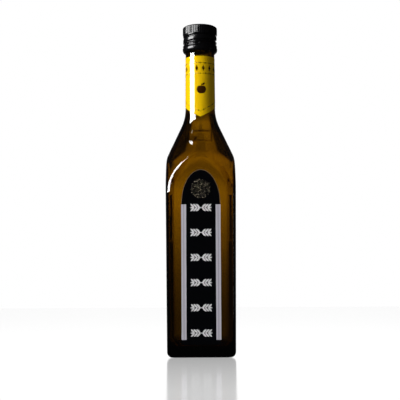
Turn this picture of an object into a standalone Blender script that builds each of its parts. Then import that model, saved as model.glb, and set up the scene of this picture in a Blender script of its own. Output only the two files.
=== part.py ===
"""Square glass bottle of apple cider vinegar with a roll-on screw cap.

Metres, +Z up. The origin is the middle of the base on the table, and the labelled face looks along -Y.
Run it with: blender --background --python part.py
"""

import math

import bmesh
import bpy
from mathutils import Vector

# Body: a square with rounded corners that is a little narrower at the table
BODY_HALF_TOP = 0.03085
BODY_HALF_FOOT = 0.0299
BODY_TOP_Z = 0.142
CORNER_R = 0.006
HEEL_R = 0.005
REST_BAND = 0.004
PUNT_RISE = 0.0012
PUNT_SLOPE = 0.003

# Shoulder: a turned cone that rounds out to the corners and meets each flat face in an arch
CONE_REF_R = 0.027
CONE_REF_Z = 0.1847
CONE_ANGLE = math.radians(25.46)
OGIVE_END_R = 0.0433
OGIVE_END_Z = 0.133
ARCH_BLEND = 0.0014

# Neck and mouth
NECK_FOOT_R = 0.0134
NECK_FOOT_Z = 0.2234
NECK_TOP_R = 0.0131
NECK_TOP_Z = 0.2715
NECK_FILLET = 0.0041
FILLET_LOW_Z = 0.2075
FILLET_HIGH_Z = 0.2195
BEAD_R = 0.0143
BEAD_LOW_Z = 0.2748
BEAD_HIGH_Z = 0.2789
BEAD_SLOPE = 0.0014
FINISH_R = 0.0133
MOUTH_Z = 0.2966
LIP_R = 0.001

# Inside of the glass
WALL = 0.0037
INNER_CORNER_R = 0.004
INNER_HEEL_R = 0.008
BASE_THICKNESS = 0.009
BORE_R = 0.0095

# Vinegar
FIT_GAP = 0.0003
FILL_Z = 0.243

# Screw cap and the ring that stays on the neck when it is opened
CAP_TOP_Z = 0.2977
CAP_LOW_Z = 0.281
CAP_R = 0.0156
CAP_BAND_R = 0.0149
CAP_GROOVE_R = 0.0144
CAP_EDGE_R = 0.0022
CAP_WALL = 0.0006
KNURL_LOW_Z = 0.2896
KNURL_COUNT = 48
KNURL_DEPTH = 0.00035
THREAD_PITCH = 0.0045
THREAD_TOP_Z = 0.2891
THREAD_TURNS = 1.5
THREAD_DEPTH = 0.00035
THREAD_HALF_WIDTH = 0.0009
RING_LOW_Z = 0.2737
RING_HIGH_Z = 0.2805
RING_R = 0.01575
RING_CURL_R = 0.0148

# Labels
LABEL_GAP = 0.0002
LABEL_THICKNESS = 0.0003
NECK_LABEL_TOP_Z = 0.2684
NECK_LABEL_SIDE_Z = 0.2234
NECK_LABEL_POINT_Z = 0.2127
PRINT_HALF_WIDTH = 0.01713
PRINT_LOW_Z = 0.0112
PRINT_SPRING_Z = 0.1333
PRINT_TOP_Z = 0.1634

# Raised frame in the glass on the front of the shoulder
FRAME_HALF_WIDTH = 0.01
FRAME_LOW_Z = 0.1891
FRAME_HIGH_Z = 0.1995
FRAME_RIM = 0.0012
FRAME_HEIGHT = 0.0004
FRAME_ROOT = 0.0006

# Angles of one eighth of the glass, from the middle of a face to a corner, in degrees
EIGHTH = (0.0, 10.0, 20.0, 29.0, 35.5, 39.3, 42.2)
CAP_SIDES = 2 * KNURL_COUNT
RING_SIDES = 48
FRONT = -math.pi / 2


def clear_scene():
    for item in list(bpy.data.objects):
        bpy.data.objects.remove(item, do_unlink=True)


def material(name, colour, roughness, metallic=0.0, transmission=0.0):
    made = bpy.data.materials.new(name)
    made.use_nodes = True
    shader = made.node_tree.nodes["Principled BSDF"]
    shader.inputs["Base Color"].default_value = (*colour, 1.0)
    shader.inputs["Roughness"].default_value = roughness
    shader.inputs["Metallic"].default_value = metallic
    shader.inputs["Transmission Weight"].default_value = transmission
    return made


def smooth_min(a, b, width):
    """The lower of two values, with the corner between them rounded over the width."""
    overlap = max(width - abs(a - b), 0.0)
    return min(a, b) - overlap * overlap / (4 * width)


def smooth_max(a, b, width):
    return -smooth_min(-a, -b, width)


def face_half(z):
    """Half the width across the flat faces at a height."""
    share = min(z / BODY_TOP_Z, 1.0)
    return BODY_HALF_FOOT + (BODY_HALF_TOP - BODY_HALF_FOOT) * share


def square_radius(angle, half, corner):
    """Distance from the axis to a square with rounded corners, in the direction of the angle."""
    quarter = math.pi / 2
    off_face = abs((angle + quarter / 2) % quarter - quarter / 2)
    centre = half - corner
    if math.tan(off_face) * half <= centre:
        return half / math.cos(off_face)
    off_corner = quarter / 2 - off_face
    reach = centre * math.sqrt(2)
    return reach * math.cos(off_corner) + math.sqrt(corner**2 - (reach * math.sin(off_corner)) ** 2)


def shoulder_radius(z):
    """The cone, and below it the arc that turns upright at the ogive's end."""
    slope = math.tan(CONE_ANGLE)
    rise = CONE_REF_R + (CONE_REF_Z - OGIVE_END_Z) * slope - OGIVE_END_R
    arc = rise / (1 / math.cos(CONE_ANGLE) - 1)
    above_end = max(z - OGIVE_END_Z, 0.0)
    if above_end >= arc * math.sin(CONE_ANGLE):
        return CONE_REF_R + (CONE_REF_Z - z) * slope
    return OGIVE_END_R - arc + math.sqrt(arc**2 - above_end**2)


def neck_radius(z):
    share = (z - NECK_FOOT_Z) / (NECK_TOP_Z - NECK_FOOT_Z)
    return NECK_FOOT_R + (NECK_TOP_R - NECK_FOOT_R) * share


def glass_radius(angle, z):
    """Outside of the glass between the heel and the top of the neck."""
    turned = smooth_max(neck_radius(z), shoulder_radius(z), NECK_FILLET)
    return smooth_min(turned, square_radius(angle, face_half(z), CORNER_R), ARCH_BLEND)


def inner_radius(angle, z, wall, bore):
    """Inside of the glass, or the liquid in it when the wall holds the gap too."""
    cone = shoulder_radius(z) - wall / math.cos(CONE_ANGLE)
    turned = smooth_max(bore, cone, NECK_FILLET)
    return smooth_min(turned, square_radius(angle, face_half(z) - wall, INNER_CORNER_R), ARCH_BLEND)


def glass_angles():
    """All angles round the glass, closest together at the corners."""
    eighth = [math.radians(step) for step in EIGHTH]
    mirrored = [-step for step in reversed(eighth[1:])]
    quarter = mirrored + eighth + [math.pi / 4]
    return [FRONT + side * math.pi / 2 + step for side in range(4) for step in quarter]


def even_angles(count):
    return [FRONT + step * 2 * math.pi / count for step in range(count)]


def steps(start, end, count):
    """Values from start to end with count intervals, both ends included."""
    return [start + (end - start) * step / count for step in range(count + 1)]


def ring_at(angles, z, radius):
    """A closed row of points at one height. The radius is a number or a function of the angle."""
    row = []
    for angle in angles:
        r = radius(angle) if callable(radius) else radius
        row.append(Vector((r * math.cos(angle), r * math.sin(angle), z)))
    return row


def square_ring(angles, z, half, corner):
    return ring_at(angles, z, lambda angle: square_radius(angle, half, corner))


def add_object(name, mesh_builder, finish):
    mesh = bpy.data.meshes.new(name)
    bmesh.ops.recalc_face_normals(mesh_builder, faces=mesh_builder.faces)
    mesh_builder.to_mesh(mesh)
    mesh_builder.free()
    mesh.shade_smooth()
    mesh.set_sharp_from_angle(angle=math.radians(35))
    made = bpy.data.objects.new(name, mesh)
    bpy.context.scene.collection.objects.link(made)
    made.data.materials.append(finish)
    return made


def loft(rows, first_point=None, last_point=None, closed=False):
    """Skin rows of points one after another. End points close the ends, or the last row meets the first."""
    skin = bmesh.new()
    rings = [[skin.verts.new(point) for point in row] for row in rows]
    pairs = list(zip(rings, rings[1:]))
    if closed:
        pairs.append((rings[-1], rings[0]))
    for low, high in pairs:
        for here in range(len(low)):
            after = (here + 1) % len(low)
            skin.faces.new((low[here], low[after], high[after], high[here]))
    for point, row in ((first_point, rings[0]), (last_point, rings[-1])):
        if point is None:
            continue
        middle = skin.verts.new(point)
        for here in range(len(row)):
            skin.faces.new((middle, row[here], row[(here + 1) % len(row)]))
    return skin


def body_heights():
    """Heights of the rows between the heel and the neck's top: close together where the form turns."""
    arch_foot = OGIVE_END_Z + 0.004
    cone_foot = CONE_REF_Z + 0.002
    heights = [HEEL_R + 0.0005]
    heights += steps(arch_foot, cone_foot, 14)
    heights += steps(FILLET_LOW_Z, FILLET_HIGH_Z, 4)
    heights += [NECK_FOOT_Z + 0.002, NECK_TOP_Z]
    return heights


def glass_outside(angles):
    """Rows from the middle of the base out to the heel, up the body and over the lip."""
    half = face_half(0.0)
    rows = []
    punt_half = half - HEEL_R - REST_BAND
    punt_corner = CORNER_R
    rows.append(square_ring(angles, PUNT_RISE, punt_half - PUNT_SLOPE, punt_corner))
    rows.append(square_ring(angles, 0.0, punt_half, punt_corner))
    for turn in steps(0.0, math.pi / 2, 4):
        inset = HEEL_R * (1 - math.sin(turn))
        z = HEEL_R * (1 - math.cos(turn))
        corner = max(CORNER_R - inset, CORNER_R / 2)
        rows.append(square_ring(angles, z, face_half(z) - inset, corner))
    for z in body_heights():
        rows.append(ring_at(angles, z, lambda angle: glass_radius(angle, z)))
    rows.append(ring_at(angles, BEAD_LOW_Z - BEAD_SLOPE, NECK_TOP_R))
    rows.append(ring_at(angles, BEAD_LOW_Z, BEAD_R))
    rows.append(ring_at(angles, BEAD_HIGH_Z, BEAD_R))
    rows.append(ring_at(angles, BEAD_HIGH_Z + BEAD_SLOPE, FINISH_R))
    rows.append(ring_at(angles, MOUTH_Z - LIP_R, FINISH_R))
    rows.append(ring_at(angles, MOUTH_Z, FINISH_R - LIP_R))
    return rows


def hollow_rows(angles, wall, bore, floor_z, top_z):
    """Rows of the inside of the glass from its top down to its floor."""
    arch_foot = OGIVE_END_Z + 0.004
    cone_foot = CONE_REF_Z + 0.002
    heights = [top_z] + steps(FILLET_HIGH_Z + WALL, FILLET_LOW_Z - WALL, 4) + steps(cone_foot, arch_foot, 7)
    heights.append(floor_z + INNER_HEEL_R)
    rows = []
    for z in heights:
        rows.append(ring_at(angles, z, lambda angle: inner_radius(angle, z, wall, bore)))
    for turn in steps(math.pi / 2, 0.0, 3)[1:]:
        inset = INNER_HEEL_R * (1 - math.sin(turn))
        z = floor_z + INNER_HEEL_R * (1 - math.cos(turn))
        rows.append(square_ring(angles, z, face_half(z) - wall - inset, INNER_CORNER_R))
    return rows


def shoulder_frame(finish):
    """A raised rectangular rim that follows the front of the cone and roots in the glass."""
    normal_out = math.cos(CONE_ANGLE)
    normal_up = math.sin(CONE_ANGLE)
    outer = (-FRAME_HALF_WIDTH, FRAME_HALF_WIDTH, FRAME_LOW_Z, FRAME_HIGH_Z)
    inner = (outer[0] + FRAME_RIM, outer[1] - FRAME_RIM, outer[2] + FRAME_RIM, outer[3] - FRAME_RIM)

    def outline(low_x, high_x, low_z, high_z):
        across = steps(low_x, high_x, 6)
        up = steps(low_z, high_z, 2)
        points = [(x, low_z) for x in across[:-1]]
        points += [(high_x, z) for z in up[:-1]]
        points += [(x, high_z) for x in reversed(across[1:])]
        points += [(low_x, z) for z in reversed(up[1:])]
        return points

    def on_cone(points, lift):
        row = []
        for x, z in points:
            r = shoulder_radius(z) + lift * normal_out
            angle = FRONT + math.asin(x / r)
            row.append(Vector((r * math.cos(angle), r * math.sin(angle), z + lift * normal_up)))
        return row

    rows = [
        on_cone(outline(*outer), -FRAME_ROOT),
        on_cone(outline(*outer), FRAME_HEIGHT),
        on_cone(outline(*inner), FRAME_HEIGHT),
        on_cone(outline(*inner), -FRAME_ROOT),
    ]
    return add_object("shoulder_frame", loft(rows, closed=True), finish)


def make_glass(finish):
    angles = glass_angles()
    rows = glass_outside(angles)
    rows.append(ring_at(angles, MOUTH_Z, BORE_R + LIP_R))
    rows += hollow_rows(angles, WALL, BORE_R, BASE_THICKNESS, MOUTH_Z - LIP_R)
    skin = loft(rows, Vector((0, 0, PUNT_RISE)), Vector((0, 0, BASE_THICKNESS)))
    bottle = add_object("glass_bottle", skin, finish)
    rim = shoulder_frame(finish)
    rim.hide_render = True
    rim.display_type = "WIRE"
    joined = bottle.modifiers.new("raised frame", "BOOLEAN")
    joined.operation = "UNION"
    joined.object = rim
    return bottle


def make_vinegar(finish):
    angles = glass_angles()
    rows = hollow_rows(angles, WALL + FIT_GAP, BORE_R - FIT_GAP, BASE_THICKNESS + FIT_GAP, FILL_Z)
    floor = Vector((0, 0, BASE_THICKNESS + FIT_GAP))
    return add_object("vinegar", loft(rows, Vector((0, 0, FILL_Z)), floor), finish)


def thread_dip(angle, z):
    """Depth of the rolled thread groove: a right-hand helix that ends at the right of the front."""
    turned = (angle / (2 * math.pi)) % 1.0
    dip = 0.0
    turns_below = turned - 1.0
    while turns_below > -THREAD_TURNS - 1.0:
        if turns_below >= -THREAD_TURNS:
            away = abs(z - THREAD_TOP_Z - turns_below * THREAD_PITCH)
            dip = max(dip, 1.0 - away / THREAD_HALF_WIDTH)
        turns_below -= 1.0
    return THREAD_DEPTH * max(dip, 0.0)


def knurl_radius(index, radius):
    return radius if index % 2 else radius - KNURL_DEPTH


def make_cap(finish):
    """A cup with a knurled top band, a threaded band and a rolled groove at its open edge."""
    angles = even_angles(CAP_SIDES)
    rows = []

    def knurled(z, radius):
        row = []
        for index, angle in enumerate(angles):
            r = knurl_radius(index, radius)
            row.append(Vector((r * math.cos(angle), r * math.sin(angle), z)))
        return row

    for turn in steps(math.pi / 2, 0.0, 3):
        inset = CAP_EDGE_R * (1 - math.cos(turn))
        z = CAP_TOP_Z - CAP_EDGE_R * (1 - math.sin(turn))
        radius = CAP_R - inset
        rows.append(ring_at(angles, z, radius) if turn > 1.0 else knurled(z, radius))
    rows.append(knurled(KNURL_LOW_Z + 0.0003, CAP_R))
    rows.append(ring_at(angles, KNURL_LOW_Z - 0.0003, CAP_BAND_R))
    for z in steps(KNURL_LOW_Z - 0.0008, CAP_LOW_Z + 0.0012, 10):
        rows.append(ring_at(angles, z, lambda angle: CAP_BAND_R - thread_dip(angle, z)))
    rows.append(ring_at(angles, CAP_LOW_Z + 0.0005, CAP_GROOVE_R))
    rows.append(ring_at(angles, CAP_LOW_Z, CAP_GROOVE_R))
    bore = CAP_GROOVE_R - CAP_WALL
    rows.append(ring_at(angles, CAP_LOW_Z, bore))
    rows.append(ring_at(angles, CAP_TOP_Z - CAP_WALL, bore))
    top = Vector((0, 0, CAP_TOP_Z))
    under_top = Vector((0, 0, CAP_TOP_Z - CAP_WALL))
    return add_object("screw_cap", loft(rows, top, under_top), finish)


def make_security_ring(finish):
    """The lower ring, with its edge curled in under the neck's bead."""
    angles = even_angles(RING_SIDES)
    outside = [
        (RING_HIGH_Z, CAP_BAND_R),
        (RING_HIGH_Z - 0.0012, RING_R - 0.0001),
        (RING_LOW_Z + 0.0042, RING_R),
        (RING_LOW_Z + 0.0014, RING_R - 0.0001),
        (RING_LOW_Z + 0.0003, RING_CURL_R + 0.0003),
        (RING_LOW_Z, RING_CURL_R),
    ]
    inside = [(RING_LOW_Z, BEAD_R + FIT_GAP), (RING_HIGH_Z, BEAD_R + FIT_GAP)]
    rows = [ring_at(angles, z, radius) for z, radius in outside + inside]
    return add_object("cap_security_ring", loft(rows, closed=True), finish)


def neck_label_foot(angle):
    """Lower edge of the neck label: a point at the front that rises to the sides, level behind."""
    away = abs((angle - FRONT + math.pi) % (2 * math.pi) - math.pi)
    share = min(away / (math.pi / 2), 1.0)
    return NECK_LABEL_POINT_Z + (NECK_LABEL_SIDE_Z - NECK_LABEL_POINT_Z) * share


def make_neck_label(finish):
    angles = even_angles(RING_SIDES)

    def row_at(share, lift):
        row = []
        for angle in angles:
            foot = neck_label_foot(angle)
            z = foot + (NECK_LABEL_TOP_Z - foot) * share
            r = glass_radius(angle, z) + lift
            row.append(Vector((r * math.cos(angle), r * math.sin(angle), z)))
        return row

    shares = (0.0, 0.1, 0.25, 1.0)
    rows = [row_at(share, LABEL_GAP) for share in reversed(shares)]
    rows += [row_at(share, LABEL_GAP + LABEL_THICKNESS) for share in shares]
    return add_object("neck_label", loft(rows, closed=True), finish)


def make_body_label(finish):
    """A flat panel with an arched top, parallel to the front face."""
    rise = PRINT_TOP_Z - PRINT_SPRING_Z
    outline = [(-PRINT_HALF_WIDTH, PRINT_LOW_Z), (PRINT_HALF_WIDTH, PRINT_LOW_Z)]
    for turn in steps(0.0, math.pi, 24):
        outline.append((PRINT_HALF_WIDTH * math.cos(turn), PRINT_SPRING_Z + rise * math.sin(turn)))
    panel = bmesh.new()
    sides = []
    for lift in (LABEL_GAP, LABEL_GAP + LABEL_THICKNESS):
        sides.append([panel.verts.new((x, -face_half(z) - lift, z)) for x, z in outline])
    panel.faces.new(sides[0])
    panel.faces.new(list(reversed(sides[1])))
    for here in range(len(outline)):
        after = (here + 1) % len(outline)
        panel.faces.new((sides[0][here], sides[1][here], sides[1][after], sides[0][after]))
    bmesh.ops.triangulate(panel, faces=[face for face in panel.faces if len(face.verts) > 4])
    return add_object("body_label", panel, finish)


def main():
    clear_scene()
    make_glass(material("amber glass", (0.27, 0.12, 0.01), 0.03, transmission=1.0))
    make_vinegar(material("vinegar", (0.42, 0.2, 0.02), 0.0, transmission=1.0))
    black_metal = material("black cap", (0.015, 0.015, 0.016), 0.35)
    make_cap(black_metal)
    make_security_ring(black_metal)
    make_neck_label(material("yellow paper", (0.78, 0.56, 0.0), 0.5))
    make_body_label(material("black print", (0.004, 0.004, 0.008), 0.3))


main()
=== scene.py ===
# %% [markdown]
# # A square bottle of apple cider vinegar
# The real object is a tall square bottle of amber glass, shut with a black roll-on metal cap. It wears
# a varnished yellow paper label round its neck and a black enamel panel with silver ornaments on its
# front. This lesson dresses a plain construction model of it: the model is loaded first and never
# changed, and each of its solids is replaced by one or more finished pieces.

# %% Load the construction model
import math

import bmesh
import bpy
from mathutils import Matrix, Vector


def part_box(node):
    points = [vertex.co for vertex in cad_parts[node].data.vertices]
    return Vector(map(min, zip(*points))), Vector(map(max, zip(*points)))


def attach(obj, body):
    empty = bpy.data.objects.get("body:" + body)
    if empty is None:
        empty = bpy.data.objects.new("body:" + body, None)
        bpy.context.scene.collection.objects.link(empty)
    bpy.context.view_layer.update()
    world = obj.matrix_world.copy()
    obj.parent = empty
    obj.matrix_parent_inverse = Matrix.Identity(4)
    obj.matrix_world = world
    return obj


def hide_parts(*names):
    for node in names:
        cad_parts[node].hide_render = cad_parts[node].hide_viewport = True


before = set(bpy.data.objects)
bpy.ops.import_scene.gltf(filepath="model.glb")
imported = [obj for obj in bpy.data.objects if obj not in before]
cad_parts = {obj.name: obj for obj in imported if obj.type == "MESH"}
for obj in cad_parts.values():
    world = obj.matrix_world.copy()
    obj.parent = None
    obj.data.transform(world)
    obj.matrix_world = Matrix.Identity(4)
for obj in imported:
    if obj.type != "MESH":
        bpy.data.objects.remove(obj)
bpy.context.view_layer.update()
print("nodes:", sorted(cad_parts))

# %% [markdown]
# ## Sizes taken from the model
# Most sizes can be read off the boxes of the solids, so that the finish follows the construction. The
# few that a box can't tell, such as the slope of the shoulder, are written out as real sizes in metres.

# %% Sizes
MM = 0.001
glass_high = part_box("glass_bottle")[1]
cap_low, cap_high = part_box("screw_cap")
ring_low, ring_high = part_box("cap_security_ring")
neck_label_low, neck_label_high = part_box("neck_label")
panel_low, panel_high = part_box("body_label")
vinegar_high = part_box("vinegar")[1]

BODY_HALF_TOP = glass_high.x
BODY_HALF_FOOT = 29.9 * MM
BODY_TOP_Z = 142 * MM
CORNER_R = 6 * MM
HEEL_R = 5 * MM
REST_BAND = 4 * MM
PUNT_RISE = 1.2 * MM
PUNT_SLOPE = 3 * MM
CONE_REF_R = 27 * MM
CONE_REF_Z = 184.7 * MM
CONE_ANGLE = math.radians(25.46)
OGIVE_END_R = 43.3 * MM
OGIVE_END_Z = 133 * MM
ARCH_BLEND = 1.8 * MM
NECK_FOOT_R = 13.4 * MM
NECK_FOOT_Z = 223.4 * MM
NECK_TOP_R = 13.1 * MM
NECK_TOP_Z = 271.5 * MM
NECK_FILLET = 4.1 * MM
BEAD_R = 14.3 * MM
BEAD_LOW_Z = 274.8 * MM
BEAD_HIGH_Z = 278.9 * MM
FINISH_R = 13.3 * MM
LIP_R = 1 * MM
MOUTH_Z = glass_high.z
WALL = 3.7 * MM
INNER_CORNER_R = 4 * MM
INNER_HEEL_R = 8 * MM
BASE_THICKNESS = 9 * MM
BORE_R = 9.5 * MM
FRONT = -math.pi / 2
print("width across the faces:", round(2 * BODY_HALF_TOP / MM, 1), "mm, mouth at", round(MOUTH_Z / MM, 1))

# %% [markdown]
# ## The form of the glass
# The mould of such a bottle is simple: a square prism with rounded edges, cut by a cone that rounds
# out towards the corners. Where the cone meets a flat face it leaves an arch. It could be modelled
# with a boolean cut, but a formula for the distance from the axis gives clean rows of faces and lets
# the inside, the liquid and the label all follow the same form. A smooth minimum rounds the arch.

# %% The form as a function of direction and height
def smooth_min(a, b, width):
    overlap = max(width - abs(a - b), 0.0)
    return min(a, b) - overlap * overlap / (4 * width)


def smooth_max(a, b, width):
    return -smooth_min(-a, -b, width)


def steps(start, end, count):
    return [start + (end - start) * step / count for step in range(count + 1)]


def face_half(z):
    share = min(z / BODY_TOP_Z, 1.0)
    return BODY_HALF_FOOT + (BODY_HALF_TOP - BODY_HALF_FOOT) * share


def square_radius(angle, half, corner):
    quarter = math.pi / 2
    off_face = abs((angle + quarter / 2) % quarter - quarter / 2)
    centre = half - corner
    if math.tan(off_face) * half <= centre:
        return half / math.cos(off_face)
    off_corner = quarter / 2 - off_face
    reach = centre * math.sqrt(2)
    return reach * math.cos(off_corner) + math.sqrt(corner**2 - (reach * math.sin(off_corner)) ** 2)


def shoulder_radius(z):
    slope = math.tan(CONE_ANGLE)
    rise = CONE_REF_R + (CONE_REF_Z - OGIVE_END_Z) * slope - OGIVE_END_R
    arc = rise / (1 / math.cos(CONE_ANGLE) - 1)
    above_end = max(z - OGIVE_END_Z, 0.0)
    if above_end >= arc * math.sin(CONE_ANGLE):
        return CONE_REF_R + (CONE_REF_Z - z) * slope
    return OGIVE_END_R - arc + math.sqrt(arc**2 - above_end**2)


def neck_radius(z):
    share = (z - NECK_FOOT_Z) / (NECK_TOP_Z - NECK_FOOT_Z)
    return NECK_FOOT_R + (NECK_TOP_R - NECK_FOOT_R) * share


def glass_radius(angle, z):
    turned = smooth_max(neck_radius(z), shoulder_radius(z), NECK_FILLET)
    return smooth_min(turned, square_radius(angle, face_half(z), CORNER_R), ARCH_BLEND)


def inner_radius(angle, z, wall, bore):
    cone = shoulder_radius(z) - wall / math.cos(CONE_ANGLE)
    turned = smooth_max(bore, cone, NECK_FILLET)
    return smooth_min(turned, square_radius(angle, face_half(z) - wall, INNER_CORNER_R), ARCH_BLEND)


edge_r = glass_radius(FRONT + math.pi / 4, BODY_TOP_Z / 2)
print("the upright edges of the body lie", round(edge_r / MM, 1), "mm from the axis")

# %% [markdown]
# ## Rows of points into a skin
# A helper skins rows of points one after another, as a loft does. The rows run up the outside, over
# the lip and down the inside, so every face points away from the material without any repair.

# %% Helpers that make meshes and pieces
def ring_at(angles, z, radius):
    row = []
    for angle in angles:
        r = radius(angle) if callable(radius) else radius
        row.append((r * math.cos(angle), r * math.sin(angle), z))
    return row


def square_ring(angles, z, half, corner):
    return ring_at(angles, z, lambda angle: square_radius(angle, half, corner))


def skin(name, rows, start=None, end=None, closed=False):
    """Skin rows that all have the same number of points. Start and end points close the ends."""
    count = len(rows[0])
    points = [point for row in rows for point in row]
    faces = []
    last = len(rows) if closed else len(rows) - 1
    for row in range(last):
        low = row * count
        high = (row + 1) % len(rows) * count
        for here in range(count):
            after = (here + 1) % count
            faces.append((low + here, low + after, high + after, high + here))
    if start is not None:
        points.append(start)
        faces += [(len(points) - 1, (here + 1) % count, here) for here in range(count)]
    if end is not None:
        points.append(end)
        low = (len(rows) - 1) * count
        faces += [(low + here, low + (here + 1) % count, len(points) - 1) for here in range(count)]
    mesh = bpy.data.meshes.new(name)
    mesh.from_pydata(points, [], faces)
    mesh.shade_smooth()
    return mesh


def add_piece(name, mesh, finish, sharp=35.0):
    mesh.set_sharp_from_angle(angle=math.radians(sharp))
    mesh.materials.clear()
    mesh.materials.append(finish)
    piece = bpy.data.objects.new(name, mesh)
    bpy.context.scene.collection.objects.link(piece)
    return piece


def settle(piece, slot, *nodes):
    """Every piece rides on the one body, the solids it stands for are hidden, and its size is printed. The
    slot is not used.
    """
    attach(piece, "root")
    if nodes:
        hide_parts(*nodes)
    size = [round(value / MM, 1) for value in piece.dimensions]
    print(piece.name, "is", size, "mm with", len(piece.data.polygons), "faces")


# %% [markdown]
# ## Node trees
# Blender builds finishes, the light of the room and repeated shapes from node trees. They are often
# drawn by hand in an editor. In a script one helper is enough: it adds a node and links or sets its
# inputs, and each tree below then reads like a list of its parts.

# %% Helpers for node trees
def new_node(tree, kind, inputs=None, **settings):
    """Add a node, give it its settings, and link or set each input that is named."""
    node = tree.nodes.new(kind)
    for key, value in settings.items():
        setattr(node, key, value)
    for key, value in (inputs or {}).items():
        if isinstance(value, bpy.types.NodeSocket):
            tree.links.new(value, node.inputs[key])
        else:
            node.inputs[key].default_value = value
    return node


def math_node(tree, operation, *operands):
    """The result of a Math node on one or two operands."""
    return new_node(tree, "ShaderNodeMath", dict(enumerate(operands)), operation=operation).outputs[0]


def colour_ramp(tree, source, stops):
    """The colour from a ramp. Its stops are (position, colour)."""
    node = new_node(tree, "ShaderNodeValToRGB", {"Fac": source})
    points = node.color_ramp.elements
    while len(points) < len(stops):
        points.new(0.5)
    for point, (position, colour) in zip(points, stops):
        point.position = position
        point.color = (*colour, 1.0)
    return node.outputs["Color"]


def grey_ramp(tree, source, stops):
    """The brightness from a ramp. Its stops are (position, brightness)."""
    return colour_ramp(tree, source, [(position, (grey, grey, grey)) for position, grey in stops])


# %% [markdown]
# ## Finishes on a Principled shader
# Values that are the same all over are set on the shader itself, and only what really varies over the
# surface, such as a bump, is linked. All patterns read Object coordinates, so they stay on the piece
# from every side. Nothing man-made is perfectly smooth, so nearly every finish gets a small bump.

# %% Helpers for finishes
def new_material(name, colour, roughness, metallic=0.0):
    made = bpy.data.materials.new(name)
    made.use_nodes = True
    shader = made.node_tree.nodes["Principled BSDF"]
    shader.inputs["Base Color"].default_value = (*colour, 1.0)
    shader.inputs["Roughness"].default_value = roughness
    shader.inputs["Metallic"].default_value = metallic
    return made, shader


def drive(made, source, shader, entry):
    """Let a result of the tree drive one input of the shader."""
    made.node_tree.links.new(source, shader.inputs[entry])


def noise_bump(made, shader, scale, depth, stretch=(1.0, 1.0, 1.0), detail=2.0):
    """A bump from soft noise. The scale is in waves a metre and the depth in metres."""
    tree = made.node_tree
    place = new_node(tree, "ShaderNodeTexCoord").outputs["Object"]
    mapping = new_node(tree, "ShaderNodeMapping", {"Vector": place, "Scale": stretch})
    waves = {"Vector": mapping.outputs["Vector"], "Scale": scale, "Detail": detail}
    noise = new_node(tree, "ShaderNodeTexNoise", waves).outputs["Fac"]
    heights = {"Height": noise, "Strength": 1.0, "Distance": depth}
    bump = new_node(tree, "ShaderNodeBump", heights)
    drive(made, bump.outputs["Normal"], shader, "Normal")
    return noise


# %% [markdown]
# ## Amber glass and vinegar
# Coloured glass gets its colour from its thickness: a thin wall is honey and a thick base nearly
# black. So the surface itself is clear, and an absorbing volume tints what passes. Its colour and
# density were set against the strip of glass beside the panel. Moulded glass is never quite flat, and
# a long, very shallow noise bends its reflections a little.

# %% Glass and liquid materials
GLASS_IOR = 1.52
GLASS_TINT = (0.765, 0.665, 0.0)
GLASS_DENSITY = 1000.0
VINEGAR_IOR = 1.34
VINEGAR_TINT = (0.82, 0.55, 0.08)
VINEGAR_DENSITY = 12.0


def clear_body(name, ior, tint, density):
    made, shader = new_material(name, (1.0, 1.0, 1.0), 0.0)
    shader.inputs["Transmission Weight"].default_value = 1.0
    shader.inputs["IOR"].default_value = ior
    tree = made.node_tree
    absorb = new_node(tree, "ShaderNodeVolumeAbsorption", {"Color": (*tint, 1.0), "Density": density})
    tree.links.new(absorb.outputs["Volume"], tree.nodes["Material Output"].inputs["Volume"])
    return made, shader


amber_glass, amber_shader = clear_body("amber glass", GLASS_IOR, GLASS_TINT, GLASS_DENSITY)
noise_bump(amber_glass, amber_shader, 38.0, 0.06 * MM, stretch=(1.0, 1.0, 0.45))
vinegar_finish, vinegar_shader = clear_body("vinegar", VINEGAR_IOR, VINEGAR_TINT, VINEGAR_DENSITY)
for shader in (amber_shader, vinegar_shader):
    print("a clear finish that bends light by", round(shader.inputs["IOR"].default_value, 2))

# %% [markdown]
# ## The relief on the shoulder
# A shallow raised rectangle is moulded into the front of the shoulder, with a small round pad at one
# corner that catches the light. It could be sculpted or carved with a boolean. It is so low that it
# is simply added to the radius here: a band round a rectangle, with soft flanks.

# %% Relief on the shoulder
RELIEF_HALF_WIDTH = 10 * MM
RELIEF_LOW_Z = 189.1 * MM
RELIEF_HIGH_Z = 199.5 * MM
RELIEF_RIM = 1.2 * MM
RELIEF_HEIGHT = 0.4 * MM
PAD_X = -6.2 * MM
PAD_Z = 190.3 * MM
PAD_REACH = 2.2 * MM
PAD_HEIGHT = 0.8 * MM


def relief(angle, z):
    """Height of the raised rim and of its pad at a place on the front of the shoulder."""
    around = (angle - FRONT + math.pi) % (2 * math.pi) - math.pi
    if abs(around) > math.pi / 4:
        return 0.0
    side = shoulder_radius(z) * math.sin(around)
    off_pad = ((side - PAD_X) ** 2 + (z - PAD_Z) ** 2) / PAD_REACH**2
    pad = PAD_HEIGHT * math.exp(-off_pad / 2)
    across = abs(side) - RELIEF_HALF_WIDTH
    middle = (RELIEF_LOW_Z + RELIEF_HIGH_Z) / 2
    upright = abs(z - middle) - (RELIEF_HIGH_Z - RELIEF_LOW_Z) / 2
    inset = -max(across, upright)
    off_rim = abs(inset - RELIEF_RIM / 2) / (RELIEF_RIM / 2)
    return pad + RELIEF_HEIGHT * max(1.0 - off_rim**2, 0.0)


print("the relief is", round(2 * RELIEF_HALF_WIDTH / MM), "mm wide and", RELIEF_HEIGHT / MM, "mm high")

# %% [markdown]
# ## Rows up the glass
# The rows follow the mould: the hollow under the base, the rounded heel, the walls, the shoulder, the
# neck with its bead, and the lip. They lie close together where the form turns and far apart on the
# straight walls, and so do the angles round the upright edges. The inside is blown, so its turns are
# rounder. A Subdivision modifier could smooth a coarser skin, but it would also soften the arch.

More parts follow.
